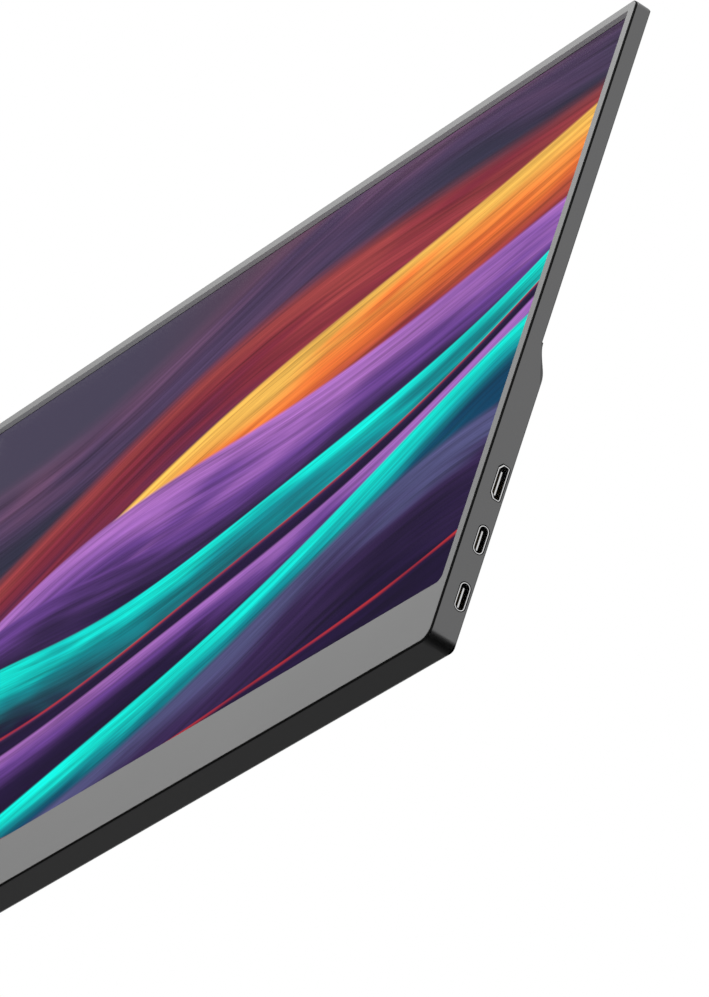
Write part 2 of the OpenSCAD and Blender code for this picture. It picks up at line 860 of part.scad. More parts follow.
module status_lamp() {
    color("khaki")
        block(control_x0, control_x0 + lamp_len, light_d - lamp_half, control_d,
            light_z - lamp_half, light_z + lamp_half);
}

module jog_lever() {
    pivot_x = -half_w + jog_pivot_in;
    color("dimgray") difference() {
        union() {
            rod_y(jog_d - lever_w / 2, jog_d + lever_w / 2, pivot_x, jog_z, barrel_r);
            block(-half_w + stem_in, pivot_x, jog_d - lever_w / 2, jog_d + lever_w / 2,
                jog_z - stem_h / 2, jog_z + stem_h / 2);
            block(-half_w - jog_tip_out, -half_w - jog_tip_out + jog_tip_t,
                jog_d - jog_tip_half, jog_d + jog_tip_half, jog_z - jog_tip_h / 2,
                jog_z + jog_tip_h / 2);
        }
        rod_y(jog_d - jog_half, jog_d + jog_half, pivot_x, jog_z, pin_r + fit_gap);
    }
}

module jog_carrier() {
    pivot_x = -half_w + jog_pivot_in;
    color("darkslategray") {
        for (s = [-1, 1])
            slab(jog_d + s * (jog_half - ear_t / 2) - ear_t / 2,
                jog_d + s * (jog_half - ear_t / 2) + ear_t / 2) {
                translate([pivot_x, jog_z]) circle(barrel_r);
                translate([pivot_x, jog_z - barrel_r]) square([barrel_r + 0.5, 2 * barrel_r]);
            }
        rod_y(jog_d - jog_half, jog_d + jog_half, pivot_x, jog_z, pin_r);
        block(pivot_x + barrel_r + barrel_gap, pivot_x + barrel_r + carrier_len,
            jog_d - jog_half, jog_d + jog_half, jog_z - carrier_half, jog_z + carrier_half);
    }
}

// The jog's switch body, with two cheeks that guide the carrier
module jog_switch() {
    x0 = -half_w + jog_pivot_in + barrel_r + carrier_len + jog_travel + 0.05;
    guide_x = -half_w + jog_pivot_in + barrel_r + barrel_gap;
    color("black") {
        block(x0, control_x1 - 0.6, jog_d - jog_half, control_d, jog_z - jog_body_h / 2,
            jog_z + jog_body_h / 2);
        for (s = [-1, 1])
            translate([0, 0, s * (carrier_half + fit_gap + cheek_t / 2)])
                block(guide_x, x0 + 0.1, jog_d - jog_half, control_d, jog_z - cheek_t / 2,
                    jog_z + cheek_t / 2);
    }
}

module control_board() {
    color("darkgreen") difference() {
        block(control_x0, control_x1, control_d, control_rear, control_z0, control_z1);
        for (p = control_posts())
            rod_y(control_d - cut, control_rear + cut, p[0], p[1], screw_r);
    }
}

// A flat ribbon from the control board's back to the main board's back
module control_ribbon() {
    x0 = control_x1 - ribbon_lap;
    x1 = board_x0 + ribbon_lap;
    bend0 = control_x1 + 1;
    bend1 = bend0 + ribbon_ramp;
    near = control_rear;
    far = board_rear;
    color("whitesmoke") bar_along_z(ribbon_z, ribbon_z + ribbon_h)
        polygon([[x0, near], [bend0, near], [bend1, far], [x1, far], [x1, far + ribbon_t],
            [bend1, far + ribbon_t], [bend0, near + ribbon_t], [x0, near + ribbon_t]]);
}

// A speaker box with a round seat for its cone on the back
module speaker_box(x) {
    color("black") difference() {
        block(x - speaker_w / 2, x + speaker_w / 2, speaker_front, speaker_rear,
            speaker_z - speaker_h / 2, speaker_z + speaker_h / 2);
        rod_y(speaker_rear - cone_depth, speaker_rear + cut, x, speaker_z, cone_r);
    }
}

module left_speaker() {
    speaker_box(-speaker_x);
}

module right_speaker() {
    speaker_box(speaker_x);
}

module speaker_cones() {
    color("gray") for (s = [-1, 1])
        translate([s * speaker_x, speaker_rear - cone_depth - thick_t / 2, speaker_z])
            rotate([-90, 0, 0])
                rotate_extrude()
                    polygon([[0, 0], [cone_r - 0.1, 0], [cone_r - 0.1, 0.6], [cone_r - 1, 0.6],
                        [2, 0.25], [1.6, 0.5], [0, 0.65]]);
}

module speaker_meshes() {
    color("black") for (s = [-1, 1])
        rod_y(speaker_rear, deep_back, s * speaker_x, speaker_z, mesh_r);
}

// The leads from the two speaker boxes to the main board
module speaker_leads() {
    d = board_d + board_t / 2;
    color("red") {
        rod_x(-speaker_x, board_x0, d, lead_z, lead_r);
        translate([-speaker_x, d - thick_t / 2, speaker_z + speaker_h / 2])
            cylinder(r = lead_r, h = lead_z - speaker_z - speaker_h / 2);
        rod_x(speaker_x + speaker_w / 2, board_x0, d, speaker_z, lead_r);
    }
}

front_bezel();
bezel_tape();
seam_gasket();
glass_cell();
glass_flex();
prism_film();
diffuser_film();
light_guide();
reflector_sheet();
light_bar();
light_bar_lamps();
panel_frame();
panel_pan();
panel_board();
panel_cable();
foam_pads();
rear_housing();
mount_inserts();
main_board();
board_chips();
board_coils();
shield_can();
board_screws();
hdmi_shell();
hdmi_tongue();
usb_upper_shell();
usb_upper_tongue();
usb_lower_shell();
usb_lower_tongue();
jack_body();
jack_ring();
power_button();
power_switch();
status_light();
status_lamp();
jog_lever();
jog_carrier();
jog_switch();
control_board();
control_ribbon();
left_speaker();
right_speaker();
speaker_cones();
speaker_meshes();
speaker_leads();
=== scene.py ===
"""Slim portable monitor with a stepped metal back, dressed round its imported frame.

The frame gives every hard piece. This script adds the finer bezel, tray, sockets and
controls, the picture on the screen, each piece's finish, the studio and the camera.
"""
import json
import math

import bmesh
import bpy
from mathutils import Matrix, Vector


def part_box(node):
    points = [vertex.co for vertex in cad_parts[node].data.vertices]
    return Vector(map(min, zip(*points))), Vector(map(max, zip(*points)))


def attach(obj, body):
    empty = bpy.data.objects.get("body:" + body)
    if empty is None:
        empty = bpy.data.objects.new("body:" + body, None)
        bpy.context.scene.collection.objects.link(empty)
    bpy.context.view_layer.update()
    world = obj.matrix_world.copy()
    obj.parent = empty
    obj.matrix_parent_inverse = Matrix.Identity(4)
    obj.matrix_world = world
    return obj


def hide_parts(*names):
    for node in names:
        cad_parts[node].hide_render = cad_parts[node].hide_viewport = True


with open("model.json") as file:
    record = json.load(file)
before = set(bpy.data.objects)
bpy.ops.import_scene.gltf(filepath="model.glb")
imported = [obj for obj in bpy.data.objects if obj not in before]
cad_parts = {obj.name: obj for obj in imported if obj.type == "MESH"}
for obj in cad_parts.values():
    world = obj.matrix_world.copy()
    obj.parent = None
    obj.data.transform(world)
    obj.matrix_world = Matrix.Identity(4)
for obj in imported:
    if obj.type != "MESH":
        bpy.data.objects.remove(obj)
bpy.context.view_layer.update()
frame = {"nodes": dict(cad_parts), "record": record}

MM = 0.001
NODES = frame["nodes"]

# Body, in millimetres, as in the part's source
BODY_W, BODY_H, THICK, SLIM = 352.0, 217.8, 8.9, 5.4
STEP_LOW, STEP_H = 88.0, 12.5
FRONT, SIDE_X = -THICK / 2, BODY_W / 2
CORNER_R, TOP_CORNER_R = 4.0, 3.0
CHIN_H, TOP_BORDER, SIDE_BORDER, VIEW_R = 19.7, 3.3, 3.35, 2.2
PICTURE_W, PICTURE_H = 345.0, 194.5
PICTURE_Z = CHIN_H + (BODY_H - TOP_BORDER - CHIN_H - PICTURE_H) / 2

# Bezel and tray: the lip's thickness, inset and rounding, the frame behind it, the tray's rim
LIP_T, LIP_IN, LIP_ROUND = 0.12, 0.42, 0.1
BEZEL_IN, BEZEL_BACK = 1.0, 1.5
SEAM_BACK, RIM_ROUND = 0.65, 0.12

# Sockets: name, height of its centre, height of its tongue, contacts in a row and their pitch
SOCKETS = (("hdmi", 54.1, 8.0, 10, 0.7), ("usb_upper", 35.2, 6.64, 12, 0.5),
           ("usb_lower", 16.6, 6.64, 12, 0.5))
SOCKET_D, TONGUE_BACK, TONGUE_T = 6.025, 0.9, 0.7
SHELL_ROUND, TONGUE_ROUND, TIP_ROUND = 0.08, 0.1, 0.08

# Controls and inserts: depth behind the front face, height, and size
BUTTON_D, BUTTON_Z, BUTTON_OUT, BUTTON_R = 6.025, 45.7, 2.4, 1.5
JOG_D, JOG_Z, LIGHT_D, LIGHT_Z = 5.3, 31.2, 5.3, 40.0
JACK_D, JACK_Z = 4.8, 7.7
MOUNT_HALF, MOUNT_Z = 37.5, 85.5


def put(tree, kind, inputs=(), **settings):
    """A node with its settings, and its inputs set to values or linked from sockets."""
    made = tree.nodes.new("ShaderNode" + kind)
    for name, value in settings.items():
        setattr(made, name, value)
    for name, value in dict(inputs).items():
        if isinstance(value, bpy.types.NodeSocket):
            tree.links.new(value, made.inputs[name])
        else:
            made.inputs[name].default_value = value
    return made


def calc(tree, operation, *values):
    """The result of one Math node."""
    return put(tree, "Math", enumerate(values), operation=operation).outputs[0]


def blend(tree, factor, first, second, mode="MIX"):
    """The colour of one Mix node."""
    made = put(tree, "Mix", {0: factor, 6: first, 7: second}, data_type="RGBA", blend_type=mode)
    return made.outputs[2]


def rise(tree, value, low, high):
    """0 below low, 1 above high and smooth between them."""
    made = put(tree, "MapRange", {"Value": value, "From Min": low, "From Max": high},
               interpolation_type="SMOOTHSTEP")
    return made.outputs[0]


def grey(level):
    """A neutral colour."""
    return (level, level, level, 1.0)


def new_group(name, inputs, outputs):
    """An empty shader node group with named sockets; returns it and its two end nodes."""
    group = bpy.data.node_groups.new(name, "ShaderNodeTree")
    for socket, kind, start in inputs:
        made = group.interface.new_socket(socket, in_out="INPUT", socket_type="NodeSocket" + kind)
        if start is not None:
            made.default_value = start
    for socket, kind in outputs:
        group.interface.new_socket(socket, in_out="OUTPUT", socket_type="NodeSocket" + kind)
    return group, group.nodes.new("NodeGroupInput"), group.nodes.new("NodeGroupOutput")


# How fine the faint, broad mottle of every finish is
MOTTLE_SCALE = 22.0


def grain_group():
    """Fine surface grain with a broad, faint mottle, for paint, plastic and metal."""
    group, given, result = new_group(
        "surface_grain",
        [("Place", "Vector", None), ("Colour", "Color", grey(0.5)), ("Grain Scale", "Float", 3000.0),
         ("Tone", "Float", 0.05), ("Mottle", "Float", 0.04), ("Rough", "Float", 0.4),
         ("Rough Shift", "Float", 0.05)],
        [("Colour", "Color"), ("Roughness", "Float"), ("Height", "Float")])
    place = given.outputs["Place"]
    fine = put(group, "TexNoise", {"Vector": place, "Scale": given.outputs["Grain Scale"],
                                   "Detail": 3.0, "Roughness": 0.6}).outputs["Fac"]
    broad = put(group, "TexNoise", {"Vector": place, "Scale": MOTTLE_SCALE,
                                    "Detail": 2.0}).outputs["Fac"]
    tone = calc(group, "MULTIPLY", calc(group, "SUBTRACT", fine, 0.5), given.outputs["Tone"])
    cloud = calc(group, "MULTIPLY", calc(group, "SUBTRACT", broad, 0.5), given.outputs["Mottle"])
    level = calc(group, "ADD", calc(group, "ADD", tone, cloud), 1.0)
    shade = put(group, "VectorMath", {0: given.outputs["Colour"], "Scale": level}, operation="SCALE")
    swing = calc(group, "MULTIPLY", calc(group, "SUBTRACT", broad, 0.5), given.outputs["Rough Shift"])
    group.links.new(shade.outputs[0], result.inputs["Colour"])
    group.links.new(calc(group, "ADD", given.outputs["Rough"], swing), result.inputs["Roughness"])
    group.links.new(fine, result.inputs["Height"])
    return group


# Wave: the second swing's pace and height, and how closely the streaks follow the crest
SECOND_PACE, SECOND_SWELL, STREAK_REACH = 1.7, 0.35, 16.0
STREAK_STRETCH = (0.7, 5.0, 1.0)


def wave_group():
    """One rolling wave of the screen's picture: streaks that follow its crest, and a lit rim."""
    group, given, result = new_group(
        "picture_wave",
        [("Behind", "Color", grey(0)), ("Across", "Float", 0.0), ("Up", "Float", 0.0),
         ("Height", "Float", 0.5), ("Slope", "Float", 0.0), ("Swell", "Float", 0.1),
         ("Pace", "Float", 3.0), ("Start", "Float", 0.0), ("Crest", "Color", grey(1)),
         ("Body", "Color", grey(0.5)), ("Foot", "Color", grey(0)), ("Depth", "Float", 0.3),
         ("Haze", "Float", 0.004), ("Rim", "Float", 0.5)],
        [("Colour", "Color")])
    value = given.outputs
    turn = calc(group, "MULTIPLY_ADD", value["Across"], value["Pace"], value["Start"])
    first = calc(group, "SINE", turn)
    second = calc(group, "MULTIPLY",
                  calc(group, "SINE", calc(group, "MULTIPLY", turn, SECOND_PACE)), SECOND_SWELL)
    lift = calc(group, "MULTIPLY", calc(group, "ADD", first, second), value["Swell"])
    crest = calc(group, "ADD", calc(group, "MULTIPLY_ADD", value["Across"], value["Slope"],
                                    value["Height"]), lift)
    below = calc(group, "SUBTRACT", crest, value["Up"])
    flow = put(group, "CombineXYZ", {0: turn, 1: calc(group, "MULTIPLY", below, STREAK_REACH),
                                     2: value["Start"]}).outputs[0]
    broad = put(group, "TexNoise", {"Vector": flow, "Scale": 0.8, "Detail": 2.0,
                                    "Distortion": 0.4}).outputs["Fac"]
    drawn = put(group, "VectorMath", {0: flow, 1: STREAK_STRETCH}, operation="MULTIPLY").outputs[0]
    fine = put(group, "TexNoise", {"Vector": drawn, "Scale": 1.0, "Detail": 5.0,
                                   "Roughness": 0.7}).outputs["Fac"]
    deep = calc(group, "ADD", calc(group, "DIVIDE", below, value["Depth"]),
                calc(group, "MULTIPLY", calc(group, "SUBTRACT", broad, 0.5), 1.1))
    shade = blend(group, rise(group, deep, 0.0, 0.5), value["Crest"], value["Body"])
    shade = blend(group, rise(group, deep, 0.35, 0.95), shade, value["Foot"])
    streak = put(group, "MapRange", {"Value": fine, "From Min": 0.3, "From Max": 0.7,
                                     "To Min": 0.5, "To Max": 1.4}).outputs[0]
    shade = put(group, "VectorMath", {0: shade, "Scale": streak}, operation="SCALE").outputs[0]
    edge = rise(group, calc(group, "DIVIDE", below, value["Haze"]), 0.0, 1.0)
    glow = calc(group, "MULTIPLY", calc(group, "SUBTRACT", 1.0, rise(group, below, 0.0, 0.012)),
                value["Rim"])
    shade = blend(group, glow, shade, value["Crest"], "SCREEN")
    group.links.new(blend(group, edge, value["Behind"], shade), result.inputs["Colour"])
    return group


GROUPS = {"grain": grain_group(), "wave": wave_group()}


def fill(tree, name, inputs):
    """The placed group with its inputs set or linked."""
    return put(tree, "Group", inputs, node_tree=GROUPS[name])


def object_place(tree, stretch=(1, 1, 1)):
    """The piece's own coordinates, stretched along its axes."""
    source = put(tree, "TexCoord").outputs["Object"]
    return put(tree, "Mapping", {"Vector": source, "Scale": stretch}).outputs["Vector"]


def finish(name, colour, rough, metal=0.0, grain=3000.0, tone=0.08, mottle=0.05, bump=0.05,
           shift=0.06, stretch=(1, 1, 1), gloss=0.5, clear=0.0):
    """A material with fine grain; returns it, its tree, its shader and its grain node."""
    material = bpy.data.materials.new(name)
    material.use_nodes = True
    tree = material.node_tree
    shader = tree.nodes["Principled BSDF"]
    surface = fill(tree, "grain", {
        "Place": object_place(tree, stretch), "Colour": (*colour, 1.0), "Grain Scale": grain,
        "Tone": tone, "Mottle": mottle, "Rough": rough, "Rough Shift": shift})
    relief = put(tree, "Bump", {"Height": surface.outputs["Height"], "Strength": bump,
                                "Distance": 0.00005})
    tree.links.new(surface.outputs["Colour"], shader.inputs["Base Color"])
    tree.links.new(surface.outputs["Roughness"], shader.inputs["Roughness"])
    tree.links.new(relief.outputs["Normal"], shader.inputs["Normal"])
    shader.inputs["Metallic"].default_value = metal
    shader.inputs["Specular IOR Level"].default_value = gloss
    shader.inputs["Transmission Weight"].default_value = clear
    return material, tree, shader, surface


YELLOW, ORANGE, RED = (1.0, 0.55, 0.10), (0.85, 0.17, 0.03), (0.45, 0.02, 0.02)
TEAL, SEA, DEEP_SEA = (0.00, 0.80, 0.68), (0.00, 0.28, 0.32), (0.00, 0.05, 0.12)
LILAC, VIOLET, PLUM = (0.42, 0.16, 0.55), (0.14, 0.05, 0.28), (0.035, 0.015, 0.075)
NIGHT, INDIGO = (0.012, 0.004, 0.035), (0.08, 0.08, 0.20)
# MAUVE, DUSK and SLATE also paint the glass's hazy reflection at the top of the screen
MAUVE, DUSK, SLATE = (0.16, 0.07, 0.14), (0.07, 0.04, 0.10), (0.03, 0.03, 0.06)
WINE, CRIMSON, EMBER = (0.34, 0.05, 0.05), (0.22, 0.02, 0.04), (0.24, 0.02, 0.04)
SKY_LEFT, SKY_RIGHT = (0.06, 0.05, 0.09, 1), (0.22, 0.03, 0.05, 1)

# Waves from back to front: height, slope, swell, pace, start, crest, body, foot, depth, haze, rim
PICTURE_WAVES = [
    # The top wave's washed grey-purple is partly artwork and partly a painted reflection of haze on the
    # glass
    (1.00, 0.10, 0.05, 2.6, 0.4, MAUVE, DUSK, SLATE, 0.3, 0.08, 0.0),
    (0.78, 0.16, 0.07, 2.2, 1.2, WINE, CRIMSON, PLUM, 0.3, 0.05, 0.0),
    (0.63, 0.28, 0.05, 2.3, 1.5, YELLOW, ORANGE, EMBER, 0.20, 0.01, 0.2),
    (0.57, 0.18, 0.07, 2.7, 2.3, LILAC, VIOLET, PLUM, 0.22, 0.01, 0.1),
    (0.50, 0.18, 0.09, 3.0, 3.2, VIOLET, PLUM, NIGHT, 0.14, 0.008, 0.5),
    (0.44, 0.19, 0.09, 3.1, 3.7, TEAL, SEA, NIGHT, 0.15, 0.006, 0.4),
    (0.34, 0.20, 0.08, 3.0, 4.2, RED, PLUM, NIGHT, 0.02, 0.005, 0.8),
    (0.31, 0.18, 0.08, 2.9, 4.5, LILAC, VIOLET, NIGHT, 0.10, 0.008, 0.2),
    (0.19, 0.24, 0.06, 3.0, 5.2, TEAL, SEA, DEEP_SEA, 0.12, 0.008, 0.3),
    (0.10, 0.20, 0.05, 3.3, 5.8, INDIGO, PLUM, NIGHT, 0.25, 0.02, 0.1),
    (0.02, 0.10, 0.04, 3.6, 3.3, RED, NIGHT, NIGHT, 0.03, 0.004, 0.6),
]
# The picture is lit only on the glass's front face, which lies less deep than this
LIT_DEPTH = 1.61


def picture_colour(tree, across, up):
    """The waves of the picture, laid over its sky one after the other."""
    picture = blend(tree, rise(tree, across, -0.5, 1.0), SKY_LEFT, SKY_RIGHT)
    for height, slope, swell, pace, start, crest, body, foot, depth, haze, rim in PICTURE_WAVES:
        picture = fill(tree, "wave", {
            "Behind": picture, "Across": across, "Up": up, "Height": height, "Slope": slope,
            "Swell": swell, "Pace": pace, "Start": start, "Crest": (*crest, 1), "Body": (*body, 1),
            "Foot": (*foot, 1), "Depth": depth, "Haze": haze, "Rim": rim}).outputs[0]
    return picture


def screen_finish():
    """Matt glass over a lit picture of rolling waves, dark at its rim and its edges."""
    material, tree, shader, _ = finish("screen_glass", (0.004, 0.004, 0.005), 0.3, grain=9000,
                                       tone=0.02, bump=0.02, gloss=0.12)
    place = put(tree, "TexCoord").outputs["Object"]
    along = put(tree, "SeparateXYZ", {0: place}).outputs
    across = calc(tree, "DIVIDE", along[0], PICTURE_H * MM)
    up = calc(tree, "DIVIDE", calc(tree, "SUBTRACT", along[2], PICTURE_Z * MM), PICTURE_H * MM)
    picture = picture_colour(tree, across, up)
    half_w, half_h = PICTURE_W / PICTURE_H / 2, 0.5
    side = calc(tree, "LESS_THAN", calc(tree, "ABSOLUTE", across), half_w)
    from_middle = calc(tree, "ABSOLUTE", calc(tree, "SUBTRACT", up, half_h))
    tall = calc(tree, "LESS_THAN", from_middle, half_h)
    front = calc(tree, "LESS_THAN", along[1], (FRONT + LIT_DEPTH) * MM)
    lit = calc(tree, "MULTIPLY", calc(tree, "MULTIPLY", side, tall), front)
    tree.links.new(blend(tree, lit, grey(0), picture), shader.inputs["Emission Color"])
    shader.inputs["Emission Strength"].default_value = 1.0
    return material


# Ribbon lines in millimetres apart, and how fast the speaker cloth's threads alternate
RIBBON_PITCH, WEAVE_PACE = 0.5, 16000.0


def board_finish():
    """Dark green circuit board with copper runs under the solder mask."""
    # The near-black greens are partly the board's own colour and partly painted shade, so it reads
    # black through the openings
    material, tree, shader, surface = finish("green_board", (0.003, 0.016, 0.009), 0.35, bump=0.02)
    runs = put(tree, "TexVoronoi", {"Vector": object_place(tree), "Scale": 700.0},
               distance="MANHATTAN", feature="F1").outputs["Distance"]
    line = rise(tree, runs, 0.42, 0.5)
    shade = blend(tree, line, surface.outputs["Colour"], (0.006, 0.035, 0.016, 1))
    tree.links.new(shade, shader.inputs["Base Color"])
    return material


def foam_finish():
    """Soft black foam with open cells."""
    material, tree, shader, _ = finish("black_foam", (0.02, 0.02, 0.02), 0.9, bump=0.0)
    cells = put(tree, "TexVoronoi", {"Vector": object_place(tree), "Scale": 2200.0})
    relief = put(tree, "Bump", {"Height": cells.outputs["Distance"], "Strength": 0.8,
                                "Distance": 0.0002})
    tree.links.new(relief.outputs["Normal"], shader.inputs["Normal"])
    return material


def ribbon_finish():
    """White ribbon cable with its fine parallel lines."""
    material, tree, shader, surface = finish("ribbon_white", (0.7, 0.7, 0.72), 0.45)
    along = put(tree, "SeparateXYZ", {0: object_place(tree)}).outputs[2]
    wave = calc(tree, "SINE", calc(tree, "MULTIPLY", along, 2 * math.pi / (RIBBON_PITCH * MM)))
    shade = blend(tree, rise(tree, wave, 0.3, 0.8), surface.outputs["Colour"], (0.5, 0.5, 0.53, 1))
    tree.links.new(shade, shader.inputs["Base Color"])
    return material


def mesh_finish():
    """Black cloth mesh behind the speaker holes."""
    material, tree, shader, _ = finish("speaker_cloth", (0.012, 0.012, 0.012), 0.8, bump=0.0)
    place = put(tree, "SeparateXYZ", {0: object_place(tree)}).outputs
    weave = calc(tree, "MULTIPLY", calc(tree, "SINE", calc(tree, "MULTIPLY", place[0], WEAVE_PACE)),
                 calc(tree, "SINE", calc(tree, "MULTIPLY", place[2], WEAVE_PACE)))
    shade = blend(tree, rise(tree, weave, -0.2, 0.6), grey(0.004), grey(0.03))
    tree.links.new(shade, shader.inputs["Base Color"])
    return material


# Metal: its tone, the back's painted shade as a share of it, the shade's reach, the step's painted
# highlight
METAL_TONE = (0.135, 0.135, 0.136)
BACK_SHADE_TONE, BACK_SHADE_EDGE, STEP_HIGHLIGHT = 0.17, 0.75, 0.55


def housing_finish():
    """Fine grey metal, with painted shade over the back and a painted highlight band on its step."""
    material, tree, shader, surface = finish("housing_metal", METAL_TONE, 0.34, 1.0, grain=7000,
                                             tone=0.12, mottle=0.04, bump=0.1)
    place = put(tree, "SeparateXYZ", {0: object_place(tree)}).outputs
    low, high = STEP_LOW, STEP_LOW + STEP_H
    back = put(tree, "MapRange", {
        "Value": place[2], "From Min": low * MM, "From Max": high * MM,
        "To Min": (FRONT + THICK) * MM, "To Max": (FRONT + SLIM) * MM}).outputs[0]
    # Painted shade: the back and its rounded edge are darkened to stand in for dark reflections
    back_shade = rise(tree, calc(tree, "SUBTRACT", place[1], back), -BACK_SHADE_EDGE * MM, -BACK_SHADE_EDGE / 2 * MM)
    # Painted highlight: the shade is thinned on the step's slope, as a bright reflected band there
    above = rise(tree, place[2], (low - 1) * MM, (low + 2) * MM)
    below = calc(tree, "SUBTRACT", 1.0, rise(tree, place[2], (high - 2) * MM, (high + 1) * MM))
    slope = calc(tree, "MULTIPLY", above, below)
    back_shade = calc(tree, "MULTIPLY", back_shade, calc(tree, "MULTIPLY_ADD", slope, -STEP_HIGHLIGHT, 1.0))
    shade = blend(tree, back_shade, surface.outputs["Colour"], grey(BACK_SHADE_TONE), "MULTIPLY")
    tree.links.new(shade, shader.inputs["Base Color"])
    return material


# Finishes with nothing but grain: colour, roughness, and what differs from the usual settings
LONG_X, LONG_Z = (0.03, 1, 1), (1, 1, 0.03)
PLAIN_FINISHES = {
    "bezel_metal": ((0.3, 0.3, 0.3), 0.45,
                    dict(metal=0.1, grain=6000, tone=0.1, mottle=0.03, bump=0.12)),
    "button_metal": (METAL_TONE, 0.36, dict(metal=1.0, grain=7000, tone=0.12, mottle=0.04, bump=0.1)),
    "black_tape": ((0.006, 0.006, 0.006), 0.6, dict(gloss=0.1)),
    "black_gasket": ((0.005, 0.005, 0.005), 0.75, dict(gloss=0.1)),
    "flex_film": ((0.45, 0.2, 0.04), 0.3, dict(stretch=LONG_Z)),
    "clear_film": ((0.8, 0.82, 0.84), 0.2, dict(stretch=LONG_X, clear=0.6)),
    "white_film": ((0.8, 0.8, 0.8), 0.5, {}),
    "clear_acrylic": ((0.8, 0.85, 0.87), 0.08, dict(clear=0.9)),
    "white_board": ((0.75, 0.74, 0.7), 0.4, {}),
    "lamp_yellow": ((0.8, 0.62, 0.12), 0.3, {}),
    "frame_plastic": ((0.03, 0.03, 0.03), 0.5, dict(grain=1500, bump=0.2)),
    "pan_steel": ((0.5, 0.5, 0.49), 0.35, dict(metal=1.0, grain=4000, tone=0.2, stretch=LONG_X)),
    "brass_insert": ((0.11, 0.08, 0.04), 0.4, dict(metal=1.0, grain=2500, tone=0.15)),
    "chip_plastic": ((0.014, 0.014, 0.015), 0.45, dict(grain=2500, bump=0.2)),
    "coil_ferrite": ((0.1, 0.1, 0.1), 0.55, dict(grain=2500, bump=0.3)),
    "screw_steel": ((0.5, 0.5, 0.5), 0.3, dict(metal=1.0, grain=3000, tone=0.15)),
    "socket_steel": ((0.62, 0.62, 0.62), 0.25, dict(metal=1.0, grain=4000, tone=0.08)),
    "tongue_plastic": ((0.02, 0.02, 0.02), 0.4, dict(grain=2500)),
    "light_pipe": ((0.008, 0.008, 0.008), 0.15, dict(clear=0.3)),
    "jog_plastic": ((0.14, 0.14, 0.14), 0.4, dict(grain=2500, bump=0.15)),
    "cone_paper": ((0.08, 0.08, 0.08), 0.7, dict(grain=1800, bump=0.4)),
    "lead_red": ((0.35, 0.02, 0.02), 0.5, dict(grain=2000)),
    "contact_gold": ((0.75, 0.52, 0.2), 0.25, dict(metal=1.0, grain=4000, tone=0.08)),
}


def make_finishes():
    """Every material, by the name of its slot."""
    made = {name: finish(name, colour, rough, **more)[0]
            for name, (colour, rough, more) in PLAIN_FINISHES.items()}
    shaped = {"screen_glass": screen_finish, "housing_metal": housing_finish,
              "green_board": board_finish, "black_foam": foam_finish,
              "ribbon_white": ribbon_finish, "speaker_cloth": mesh_finish}
    made.update((name, build()) for name, build in shaped.items())
    return made


FINISHES = make_finishes()


def dress_nodes():
    """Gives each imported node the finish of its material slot."""
    slots = {part["node"]: part["material_slot"] for part in frame["record"]["subparts"]}
    for name, node in NODES.items():
        wanted = "speaker_cloth" if name == "speaker_meshes" else slots[name]
        if not node.material_slots:
            node.data.materials.append(None)
        for slot in node.material_slots:
            slot.material = FINISHES[wanted]


def to_front(x, depth, z):
    """A place in metres from millimetres across, behind the front face, and up."""
    return Vector((x, depth + FRONT, z)) * MM


def make_piece(bm, name, body, slot, replaced=(), smooth_angle=35.0, finish_name=None):
    """Turns a bmesh into a finished piece that rides on a body."""
    limit = math.radians(smooth_angle)
    for face in bm.faces:
        face.smooth = True
    for edge in bm.edges:
        edge.smooth = edge.is_manifold and edge.calc_face_angle(0.0) < limit
    mesh = bpy.data.meshes.new(name)
    bm.to_mesh(mesh)
    bm.free()
    piece = bpy.data.objects.new(name, mesh)
    bpy.context.scene.collection.objects.link(piece)
    mesh.materials.append(FINISHES[finish_name or slot])
    weigh = piece.modifiers.new("even_shading", "WEIGHTED_NORMAL")
    weigh.keep_sharp = True
    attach(piece, body)
    if replaced:
        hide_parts(*replaced)
    return piece


def merged_copy(node):
    """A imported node's shape with its triangles joined and its flat faces made whole."""
    bm = bmesh.new()
    bm.from_mesh(NODES[node].data)
    bmesh.ops.remove_doubles(bm, verts=bm.verts, dist=1e-6)
    bmesh.ops.dissolve_limit(bm, angle_limit=math.radians(0.3), use_dissolve_boundaries=False,
                             verts=bm.verts, edges=bm.edges, delimit={"NORMAL"})
    return bm


def round_edges(bm, edges, width, segments=2):
    """Rounds the given edges by a width in millimetres."""
    bmesh.ops.bevel(bm, geom=list(edges), offset=width * MM, offset_type="OFFSET", segments=segments,
                    profile=0.5, affect="EDGES", material=-1, clamp_overlap=True)


def sharp_edges(bm, angle=40.0):
    """The edges where two faces meet more sharply than the angle."""
    limit = math.radians(angle)
    return [e for e in bm.edges if e.is_manifold and e.calc_face_angle(0.0) > limit]


def outline(bm, w, z0, z1, depth, corner_low, corner_high, segments=10):
    """A flat face facing the front, with its corners rounded; returns its vertices."""
    place = Matrix.Translation(to_front(0, depth, (z0 + z1) / 2)) @ Matrix.Rotation(math.pi / 2, 4, "X")
    place = place @ Matrix.Diagonal((w * MM, (z1 - z0) * MM, 1, 1))
    made = bmesh.ops.create_grid(bm, x_segments=1, y_segments=1, size=0.5, matrix=place)["verts"]
    middle = (z0 + z1) / 2 * MM
    for radius, low in ((corner_low, True), (corner_high, False)):
        corners = [v for v in bm.verts if v in made and (v.co.z < middle) == low] if radius else []
        if corners:
            done = bmesh.ops.bevel(bm, geom=corners, offset=radius * MM, offset_type="OFFSET",
                                   segments=segments, profile=0.5, affect="VERTICES", material=-1)
            made = [v for v in made if v.is_valid] + list(done["verts"])
    return [v for v in set(made) if v.is_valid]


